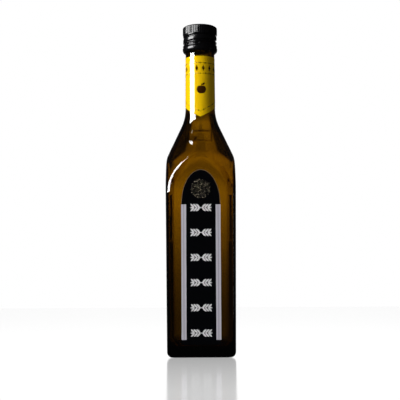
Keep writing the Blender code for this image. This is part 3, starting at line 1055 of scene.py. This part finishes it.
def front_print(name, outlines, low_lift, high_lift, finish, sharp=35.0):
    """Closed thin plates in the plane of the front face, from outlines of (x, z) in metres."""
    plate = bmesh.new()
    for outline in outlines:
        near = [plate.verts.new((x, front_y(z, high_lift), z)) for x, z in outline]
        far = [plate.verts.new((x, front_y(z, low_lift), z)) for x, z in outline]
        plate.faces.new(near)
        plate.faces.new(list(reversed(far)))
        for here in range(len(outline)):
            after = (here + 1) % len(outline)
            plate.faces.new((near[after], near[here], far[here], far[after]))
    bmesh.ops.recalc_face_normals(plate, faces=plate.faces)
    bmesh.ops.triangulate(plate, faces=[face for face in plate.faces if len(face.verts) > 4])
    mesh = bpy.data.meshes.new(name)
    plate.to_mesh(mesh)
    plate.free()
    return add_piece(name, mesh, finish, sharp)


# %% [markdown]
# ## The panel and its tan line
# The plates are stacked as a printer lays them down: the enamel first, and the tan line on top of it.
# The line is a row of small plates along the arch, between an outer and an inner ellipse.

# %% Build the panel and its line
PANEL_HALF = panel_high.x
PANEL_LOW_Z = panel_low.z
PANEL_TOP_Z = panel_high.z
SPRING_Z = 133.3 * MM
PANEL_LIFT = 0.02 * MM
PANEL_FACE = 0.12 * MM
INK_FACE = 0.15 * MM
INK_FOOT = PANEL_FACE - 0.01 * MM
LINE_WIDTH = 0.6 * MM
ARCH_STEPS = 64


def arch_points(half, rise):
    turns = steps(0, math.pi, ARCH_STEPS)
    return [(half * math.cos(turn), SPRING_Z + rise * math.sin(turn)) for turn in turns]


outer_arch = arch_points(PANEL_HALF, PANEL_TOP_Z - SPRING_Z)
inner_arch = arch_points(PANEL_HALF - LINE_WIDTH, PANEL_TOP_Z - SPRING_Z - LINE_WIDTH)
panel_outline = [(-PANEL_HALF, PANEL_LOW_Z), (PANEL_HALF, PANEL_LOW_Z)] + outer_arch
panel = front_print("black_panel", [panel_outline], PANEL_LIFT, PANEL_FACE, black_enamel)
settle(panel, "black_print", "body_label")
line_quads = []
for here in range(ARCH_STEPS):
    line_quads.append((inner_arch[here], outer_arch[here], outer_arch[here + 1], inner_arch[here + 1]))
line_sheet = front_print("tan_line", line_quads, PANEL_FACE, INK_FACE, tan_line_finish)
settle(line_sheet, "black_print")

# %% [markdown]
# ## The silver bars
# Each bar has two bright strips along its edges and a duller core between them. Plates side by side
# keep these edges sharp at any distance, where a stripe in a texture would blur.

# %% Build the silver bars
BAR_WIDTH = 4.3 * MM
BAR_LOW_Z = 15.5 * MM
BAR_HIGH_Z = 132.6 * MM
EDGE_WIDTH = 1.75 * MM


def upright_strip(start, end):
    return [(start, BAR_LOW_Z), (end, BAR_LOW_Z), (end, BAR_HIGH_Z), (start, BAR_HIGH_Z)]


edges = []
cores = []
for side in (-1, 1):
    outer = side * PANEL_HALF
    inner = side * (PANEL_HALF - BAR_WIDTH)
    edges.append(upright_strip(outer, outer - side * EDGE_WIDTH))
    edges.append(upright_strip(inner + side * EDGE_WIDTH, inner))
    cores.append(upright_strip(outer - side * EDGE_WIDTH, inner + side * EDGE_WIDTH))
silver_bars = front_print("silver_bars", edges, INK_FOOT, INK_FACE, silver_ink)
settle(silver_bars, "black_print")
silver_cores = front_print("silver_bar_cores", cores, INK_FOOT, INK_FACE - 0.01 * MM, dull_silver)
settle(silver_cores, "black_print")

# %% [markdown]
# ## Ornaments on the panel
# A round emblem of fine bronze dots stands under the arch. Seeds of a flower head sit on a spiral with
# the golden angle between neighbours, and the same rule fills a disc evenly here, inside Geometry
# Nodes. Below it, a column of leafy sprigs is printed in silver.

# %% Tree for the dotted emblem
GOLDEN_ANGLE = math.radians(137.508)
SMALLEST_DOT = 0.55
LARGEST_DOT = 1.25


def seed_tree(finish):
    inputs = {"Shape": "Object", "Count": "Int", "Radius": "Float", "Middle": "Vector", "Seed": "Int"}
    tree, entry = start_tree("seeds in a disc", inputs)
    line = new_node(tree, "GeometryNodeMeshLine", {"Count": entry.outputs["Count"]})
    index = new_node(tree, "GeometryNodeInputIndex").outputs[0]
    angle = math_node(tree, "MULTIPLY", index, GOLDEN_ANGLE)
    part = math_node(tree, "DIVIDE", index, entry.outputs["Count"])
    reach = math_node(tree, "MULTIPLY", math_node(tree, "SQRT", part), entry.outputs["Radius"])
    x = math_node(tree, "MULTIPLY", math_node(tree, "COSINE", angle), reach)
    z = math_node(tree, "MULTIPLY", math_node(tree, "SINE", angle), reach)
    flat = new_node(tree, "ShaderNodeCombineXYZ", {"X": x, "Z": z})
    both = {0: flat.outputs[0], 1: entry.outputs["Middle"]}
    placed = new_node(tree, "ShaderNodeVectorMath", both, operation="ADD")
    moves = {"Geometry": line.outputs[0], "Position": placed.outputs[0]}
    moved = new_node(tree, "GeometryNodeSetPosition", moves)
    sizes = {2: SMALLEST_DOT, 3: LARGEST_DOT, "Seed": entry.outputs["Seed"]}
    size = new_node(tree, "FunctionNodeRandomValue", sizes, data_type="FLOAT")
    shape = new_node(tree, "GeometryNodeObjectInfo", {"Object": entry.outputs["Shape"]})
    setting = {"Points": moved.outputs[0], "Instance": shape.outputs["Geometry"], "Scale": size.outputs[1]}
    copies = new_node(tree, "GeometryNodeInstanceOnPoints", setting)
    end_tree(tree, copies.outputs[0], finish)
    return tree


print("each seed is turned", round(math.degrees(GOLDEN_ANGLE), 1), "degrees from the last")

# %% [markdown]
# ## The emblem
# The dots are a bronze powder ink, some bright and some dull. A noise on Object coordinates picks
# which are which, through a ramp with a narrow step. The size of each dot is random with a fixed
# seed, so the emblem is the same at every run.

# %% Build the emblem
dot_finish, dot_shader = new_material("bronze dots", (0.14, 0.125, 0.075), 0.4, metallic=0.3)
dot_noise = noise_bump(dot_finish, dot_shader, 1200.0, 0.01 * MM)
dot_tones = [(0.5, (0.04, 0.032, 0.014)), (0.66, (0.95, 0.82, 0.55))]
drive(dot_finish, colour_ramp(dot_finish.node_tree, dot_noise, dot_tones), dot_shader, "Base Color")
EMBLEM_Z = 146.4 * MM
EMBLEM_R = 8.7 * MM
EMBLEM_DOTS = 140
dot_mesh = bead_shape("dot", 0.3 * MM, 0.3 * MM, 0.03 * MM, sides=8)
dot_mesh.transform(Matrix.Rotation(math.pi / 2, 4, "X"))
dot = hidden_shape("dot", dot_mesh)
emblem_values = {
    "Shape": dot,
    "Count": EMBLEM_DOTS,
    "Radius": EMBLEM_R,
    "Middle": (0.0, front_y(EMBLEM_Z, PANEL_FACE), EMBLEM_Z),
    "Seed": 4,
}
emblem = grow("bronze_emblem", seed_tree(dot_finish), emblem_values, dot_finish)
settle(emblem, "black_print")
bpy.data.objects.remove(dot, do_unlink=True)

# %% [markdown]
# ## The column of sprigs
# Each sprig has a thin stem with seven leaves on either side of its middle. One flat leaf is laid out
# by the same tree as the beads, with its own direction and size at each place. The stems are plates
# with four corners, thickest in the middle.

# %% Build the column of sprigs
mark_finish, mark_shader = new_material("pale silver ink", (0.68, 0.68, 0.69), 0.5)
noise_bump(mark_finish, mark_shader, 2200.0, 0.012 * MM)
TOP_SPRIG_Z = 129.8 * MM
LOW_SPRIG_Z = 21.3 * MM
SPRIG_HEIGHTS = steps(TOP_SPRIG_Z, LOW_SPRIG_Z, 5)
SPRIG_REACH = 9.6 * MM
STEM_HALF = 0.35 * MM
LEAF_LONG = 4.7 * MM
LEAF_WIDE = 1.6 * MM
LEAF_FEET = [0.9 * MM, 3.3 * MM, 5.7 * MM]
LEAF_LEAN = math.radians(44)


def flat_leaf(name, long, wide):
    """A thin leaf along +X from the origin, facing +Z, that reaches a little below its own plane."""
    outline = leaf_outline(12, long, wide)
    rows = [[(x, y, z) for x, y in outline] for z in (-0.01 * MM, INK_FACE - PANEL_FACE)]
    middles = [(long / 2, 0, rows[level][0][2]) for level in (0, 1)]
    return skin(name, list(reversed(rows)), middles[1], middles[0])


def sprig_entries(z):
    """Leaves that lean away from the middle of a sprig, in pairs above and below the stem."""
    entries = []
    for side in (-1, 1):
        for foot in LEAF_FEET:
            for lean in (-LEAF_LEAN, LEAF_LEAN):
                along = Vector((side * math.cos(lean), 0, math.sin(lean)))
                entries.append(((side * foot, front_y(z, PANEL_FACE), z), (0, -1, 0), along, (1, 1, 1)))
        tip = side * (SPRIG_REACH - 0.8 * LEAF_LONG)
        entries.append(((tip, front_y(z, PANEL_FACE), z), (0, -1, 0), (side, 0, 0), (0.8, 0.8, 1)))
    return entries


sprig_leaves = [entry for z in SPRIG_HEIGHTS for entry in sprig_entries(z)]
leaf_shape = flat_leaf("sprig_leaf", LEAF_LONG, LEAF_WIDE)
lay_out("silver_leaves", leaf_shape, sprig_leaves, mark_finish, "black_print")
stem_end = SPRIG_REACH - 0.7 * LEAF_LONG
stems = []
for z in SPRIG_HEIGHTS:
    stems.append([(-stem_end, z), (0.0, z - STEM_HALF), (stem_end, z), (0.0, z + STEM_HALF)])
silver_stems = front_print("silver_stems", stems, INK_FOOT, INK_FACE, mark_finish)
settle(silver_stems, "black_print")

# %% [markdown]
# ## The table
# The bottle stands on a white, slightly shiny table before a white ground. A white table under lamps
# would need careful exposure, so this one glows evenly by itself, and a share of gloss mirrors the
# bottle. The share is largest at the foot of the bottle and falls off in front of it. The table is
# part of the stage, and it is hidden from the glass so that it doesn't light the bottle from below.

# %% Build the table
WHITE = (1.0, 1.0, 1.0, 1.0)
TABLE_HALF = 6.0
TABLE_ROUGHNESS = 0.12
FADE_REACH = 0.37
GLOSS_NEAR = 0.62
GLOSS_FAR = 0.4


def stage_sheet(name, points, faces):
    """A flat sheet of the studio, with an empty node tree for its finish."""
    mesh = bpy.data.meshes.new(name)
    mesh.from_pydata(points, [], faces)
    sheet = bpy.data.objects.new(name, mesh)
    bpy.context.scene.collection.objects.link(sheet)
    finish = bpy.data.materials.new(name.replace("_", " "))
    finish.use_nodes = True
    finish.node_tree.nodes.clear()
    mesh.materials.append(finish)
    return sheet, finish.node_tree


table_corners = [(x * TABLE_HALF, y * TABLE_HALF, 0) for x, y in ((-1, -1), (1, -1), (1, 1), (-1, 1))]
table, table_tree = stage_sheet("table", table_corners, [(0, 1, 2, 3)])
table_place = new_node(table_tree, "ShaderNodeTexCoord").outputs["Object"]
off_axis = new_node(table_tree, "ShaderNodeVectorMath", {0: table_place}, operation="LENGTH")
fading = {"Value": off_axis.outputs["Value"], "From Max": FADE_REACH}
fading.update({"To Min": GLOSS_NEAR, "To Max": GLOSS_FAR})
gloss_share = new_node(table_tree, "ShaderNodeMapRange", fading)
glow = new_node(table_tree, "ShaderNodeEmission", {"Color": WHITE, "Strength": 1.0})
gloss = new_node(table_tree, "ShaderNodeBsdfGlossy", {"Roughness": TABLE_ROUGHNESS})
parts_of_blend = {0: gloss_share.outputs[0], 1: glow.outputs[0], 2: gloss.outputs[0]}
blend = new_node(table_tree, "ShaderNodeMixShader", parts_of_blend)
new_node(table_tree, "ShaderNodeOutputMaterial", {"Surface": blend.outputs[0]})
table.visible_transmission = False
table.visible_glossy = False
table.visible_diffuse = False
print("the table reaches", TABLE_HALF, "m to each side")

# %% [markdown]
# ## A lit card behind the glass
# Dark glass shows its colour only when light comes through it, so a photographer stands a lit card
# behind it. A full bottle is a strong lens: its flat faces look almost straight at the card, while
# its rounded edges and its shoulder look far past it. A stepped window is left open in the card, so
# that the shoulder looks through it at something darker.

# %% Build the lit card
CARD_Y = 0.28
CARD_HALF = 0.3
CARD_HEIGHT = 0.5
WINDOW_HALF = 16 * MM
WINDOW_TOP_HALF = 8 * MM
WINDOW_LOW_Z = 120 * MM
WINDOW_STEP_Z = 148 * MM
WINDOW_HIGH_Z = 171 * MM
columns = (-CARD_HALF, -WINDOW_HALF, -WINDOW_TOP_HALF, WINDOW_TOP_HALF, WINDOW_HALF, CARD_HALF)
levels = (0.0, WINDOW_LOW_Z, WINDOW_STEP_Z, WINDOW_HIGH_Z, CARD_HEIGHT)
window_cells = [(1, 1), (1, 2), (1, 3), (2, 2)]
card_points = [(x, CARD_Y, z) for z in levels for x in columns]
card_faces = []
for level in range(len(levels) - 1):
    for column in range(len(columns) - 1):
        if (level, column) not in window_cells:
            low = len(columns) * level + column
            high = low + len(columns)
            card_faces.append((low, low + 1, high + 1, high))
card, card_tree = stage_sheet("lit_card", card_points, card_faces)
print("the lit card has", len(card_faces), "faces round its window")

# %% [markdown]
# ## The glow of the card
# The glow is a product of ramps over the card. One runs up it and sets how bright each height of the
# bottle is. Others run across it: a narrow belt behind the body and a wide one behind the shoulder.
# The last two keep light away from behind the panel, low down in the middle. Ramps in place of lamps
# give a glow without noise that can be changed at one height alone.

# %% Light up the card
CARD_STRENGTH = 1.55
card_place = new_node(card_tree, "ShaderNodeTexCoord").outputs["Object"]
card_parts = new_node(card_tree, "ShaderNodeSeparateXYZ", {"Vector": card_place})
up_range = {"Value": card_parts.outputs["Z"], "From Max": CARD_HEIGHT}
card_up = new_node(card_tree, "ShaderNodeMapRange", up_range).outputs[0]
side_range = {"Value": card_parts.outputs["X"], "From Min": -CARD_HALF, "From Max": CARD_HALF}
card_side = new_node(card_tree, "ShaderNodeMapRange", side_range).outputs[0]
up_stops = [(0.015, 0.04), (0.066, 0.06), (0.108, 0.1), (0.151, 0.15), (0.193, 0.24), (0.227, 0.35)]
up_stops += [(0.244, 0.42), (0.286, 0.55), (0.329, 0.76), (0.354, 0.74), (0.388, 0.45), (0.439, 0.25)]
up_stops += [(0.524, 0.15), (0.592, 0.0), (0.863, 0.0)]
body_stops = [(0.38, 0.0), (0.41, 1.15), (0.52, 1.05), (0.56, 0.9), (0.58, 0.9), (0.6, 0.0)]
shoulder_stops = [(0.05, 0.0), (0.12, 1.0), (0.84, 1.0), (0.91, 0.0)]
upper_part = grey_ramp(card_tree, card_up, [(0.46, 0.0), (0.5, 1.0), (1.0, 1.0)])
wide_belt = math_node(card_tree, "MULTIPLY", grey_ramp(card_tree, card_side, shoulder_stops), upper_part)
belts = math_node(card_tree, "MAXIMUM", grey_ramp(card_tree, card_side, body_stops), wide_belt)
beside_panel = grey_ramp(card_tree, card_side, [(0.467, 1.0), (0.475, 0.0), (0.525, 0.0), (0.533, 1.0)])
above_panel = grey_ramp(card_tree, card_up, [(0.235, 0.0), (0.24, 1.0), (1.0, 1.0)])
round_panel = math_node(card_tree, "MAXIMUM", beside_panel, above_panel)
open_part = math_node(card_tree, "MULTIPLY", belts, round_panel)
card_glow = math_node(card_tree, "MULTIPLY", grey_ramp(card_tree, card_up, up_stops), open_part)


def emit(tree, glow, strength):
    light = new_node(tree, "ShaderNodeEmission", {"Color": glow, "Strength": strength})
    new_node(tree, "ShaderNodeOutputMaterial", {"Surface": light.outputs[0]})


emit(card_tree, card_glow, CARD_STRENGTH)
print("the card glows at a strength of", CARD_STRENGTH, "through", len(up_stops), "heights")

# %% [markdown]
# ## A far card in the window
# An empty window would leave the shoulder black, so a smaller and dimmer card stands farther away and
# fills it. It is wide below and slim above, because the shoulder narrows. Only rays that go through
# the glass see either card. Neither lights the table nor is mirrored in the bottle.

# %% Build the far card
FAR_Y = 0.6
FAR_HALF = 0.06
FAR_LOW_Z = 0.05
FAR_HIGH_Z = 0.13
FAR_SLIM_HALF = 0.022
FAR_TOP_Z = 0.4
FAR_STRENGTH = 1.25
far_points = [(-FAR_HALF, FAR_Y, FAR_LOW_Z), (FAR_HALF, FAR_Y, FAR_LOW_Z)]
far_points += [(FAR_HALF, FAR_Y, FAR_HIGH_Z), (-FAR_HALF, FAR_Y, FAR_HIGH_Z)]
far_points += [(-FAR_SLIM_HALF, FAR_Y, FAR_HIGH_Z), (FAR_SLIM_HALF, FAR_Y, FAR_HIGH_Z)]
far_points += [(FAR_SLIM_HALF, FAR_Y, FAR_TOP_Z), (-FAR_SLIM_HALF, FAR_Y, FAR_TOP_Z)]
far_card, far_tree = stage_sheet("far_card", far_points, [(0, 1, 2, 3), (4, 5, 6, 7)])
far_place = new_node(far_tree, "ShaderNodeTexCoord").outputs["Object"]
far_parts = new_node(far_tree, "ShaderNodeSeparateXYZ", {"Vector": far_place})
far_range = {"Value": far_parts.outputs["Z"], "From Min": FAR_LOW_Z, "From Max": FAR_HIGH_Z}
far_up = new_node(far_tree, "ShaderNodeMapRange", far_range).outputs[0]
emit(far_tree, grey_ramp(far_tree, far_up, [(0.3, 0.42), (0.7, 0.58), (1.0, 0.66)]), FAR_STRENGTH)
for lit in (card, far_card):
    lit.visible_camera = False
    lit.visible_diffuse = False
    lit.visible_glossy = False
    lit.visible_shadow = False
print("the cards stand", CARD_Y, "m and", FAR_Y, "m behind the bottle")

# %% [markdown]
# ## The room
# The world answers each kind of ray in its own way. The camera sees plain white. Rays through the
# glass see a dim room with brighter belts, but nothing straight behind the bottle, where the cards
# stand. Mirrored rays see almost nothing except right behind the bottle, so the lamps alone draw the
# highlights. A little even light fills the paper. An image of a studio would do the same with less
# control.

# %% Build the room
ROOM_GLOW = 1.5
MIRROR_GLOW = 1.35
SOFT_FILL = 0.1
world = bpy.data.worlds.new("studio")
bpy.context.scene.world = world
world.use_nodes = True
sky = world.node_tree
sky.nodes.clear()
direction = new_node(sky, "ShaderNodeTexCoord").outputs["Generated"]
parts = new_node(sky, "ShaderNodeSeparateXYZ", {"Vector": direction})
height_range = {"Value": parts.outputs["Z"], "From Min": -0.5, "From Max": 0.5}
height = new_node(sky, "ShaderNodeMapRange", height_range).outputs[0]
room_stops = [(0.0, 0.27), (0.4, 0.2), (0.5, 0.1), (0.58, 0.3), (0.66, 0.3), (0.71, 0.1)]
room_stops += [(0.85, 0.1), (0.9, 0.6)]
room = grey_ramp(sky, height, room_stops)
flags = grey_ramp(sky, parts.outputs["Y"], [(0.0, 1.0), (0.55, 1.0), (0.7, 0.0), (1.0, 0.0)])
through = math_node(sky, "MULTIPLY", math_node(sky, "MULTIPLY", room, flags), ROOM_GLOW)
mirrored = grey_ramp(sky, parts.outputs["Y"], [(0.0, 0.012), (0.955, 0.012), (0.97, 1.0), (1.0, 1.0)])
bright_mirror = math_node(sky, "MULTIPLY", mirrored, MIRROR_GLOW)
rays = new_node(sky, "ShaderNodeLightPath").outputs


def background(strength):
    return new_node(sky, "ShaderNodeBackground", {"Color": WHITE, "Strength": strength}).outputs[0]


def mix(factor, first, second):
    return new_node(sky, "ShaderNodeMixShader", {0: factor, 1: first, 2: second}).outputs[0]


room_light = mix(rays["Is Glossy Ray"], background(SOFT_FILL), background(bright_mirror))
room_light = mix(rays["Is Transmission Ray"], room_light, background(through))
room_light = mix(rays["Is Camera Ray"], room_light, background(1.0))
new_node(sky, "ShaderNodeOutputWorld", {"Surface": room_light})
print("the room's tree has", len(sky.nodes), "nodes")

# %% [markdown]
# ## Four soft lamps
# Tall flat lamps give glass long clean highlights. The key shine on the left draws the white strip on
# the neck and the crescent on the arch. The top shine stands higher for the sloping shoulder, and the
# side shine is a faint, low one on the right. These three are seen only in reflections. The key light
# is the other way round: it lights paper and ink but is mirrored nowhere, so each can be set alone.

# %% Set up the lamps
LAMP_DISTANCE = 1.0


def soft_lamp(name, degrees, low_z, high_z, width, brightness, mirrored_only):
    """An upright flat lamp at an angle from the camera's side, a metre away, that faces the bottle."""
    side_angle = math.radians(degrees)
    outward = Vector((math.sin(side_angle), -math.cos(side_angle), 0))
    up = Vector((0, 0, 1))
    along = up.cross(outward)
    lamp = bpy.data.lights.new(name, "AREA")
    lamp.shape = "RECTANGLE"
    lamp.size = width
    lamp.size_y = high_z - low_z
    lamp.energy = brightness * math.pi * lamp.size * lamp.size_y
    stand = bpy.data.objects.new(name, lamp)
    bpy.context.scene.collection.objects.link(stand)
    stand.location = outward * LAMP_DISTANCE + up * (low_z + high_z) / 2
    stand.rotation_mode = "QUATERNION"
    stand.rotation_quaternion = Matrix((along, up, along.cross(up))).transposed().to_quaternion()
    stand.visible_diffuse = not mirrored_only
    stand.visible_glossy = mirrored_only
    stand.visible_transmission = False
    print(name, "stands at", degrees, "degrees from", low_z, "m to", high_z, "m")


soft_lamp("key_shine", -66.0, 0.26, 1.15, 0.7, 26.0, True)
soft_lamp("top_shine", -42.5, 0.8, 1.2, 0.16, 26.0, True)
soft_lamp("side_shine", 76.0, 0.0, 0.32, 0.12, 0.6, True)
soft_lamp("key_light", -60.0, 0.05, 0.75, 0.7, 10.4, False)

# %% [markdown]
# ## The camera
# The camera stands low, just above the table and nearly a metre away, and looks up a little through a
# long lens, so the verticals stay nearly parallel. The focal length was found in pixels of the
# picture. The sensor's width turns it into millimetres.

# %% Set up the camera
PIXELS = 400
FOCAL_PIXELS = 1059.9
LOOK_UP = 5.37
LEAN = -0.3
camera_data = bpy.data.cameras.new("camera")
camera_data.sensor_width = 36.0
camera_data.lens = FOCAL_PIXELS / PIXELS * camera_data.sensor_width
camera = bpy.data.objects.new("camera", camera_data)
bpy.context.scene.collection.objects.link(camera)
camera.location = (-0.0007, -0.95, 0.05)
pitch = Matrix.Rotation(math.radians(90 + LOOK_UP), 4, "X")
roll = Matrix.Rotation(math.radians(LEAN), 4, "Z")
camera.rotation_euler = (pitch @ roll).to_euler()
bpy.context.scene.camera = camera
bpy.context.scene.view_settings.view_transform = "Standard"
print("lens:", round(camera_data.lens, 1), "mm")
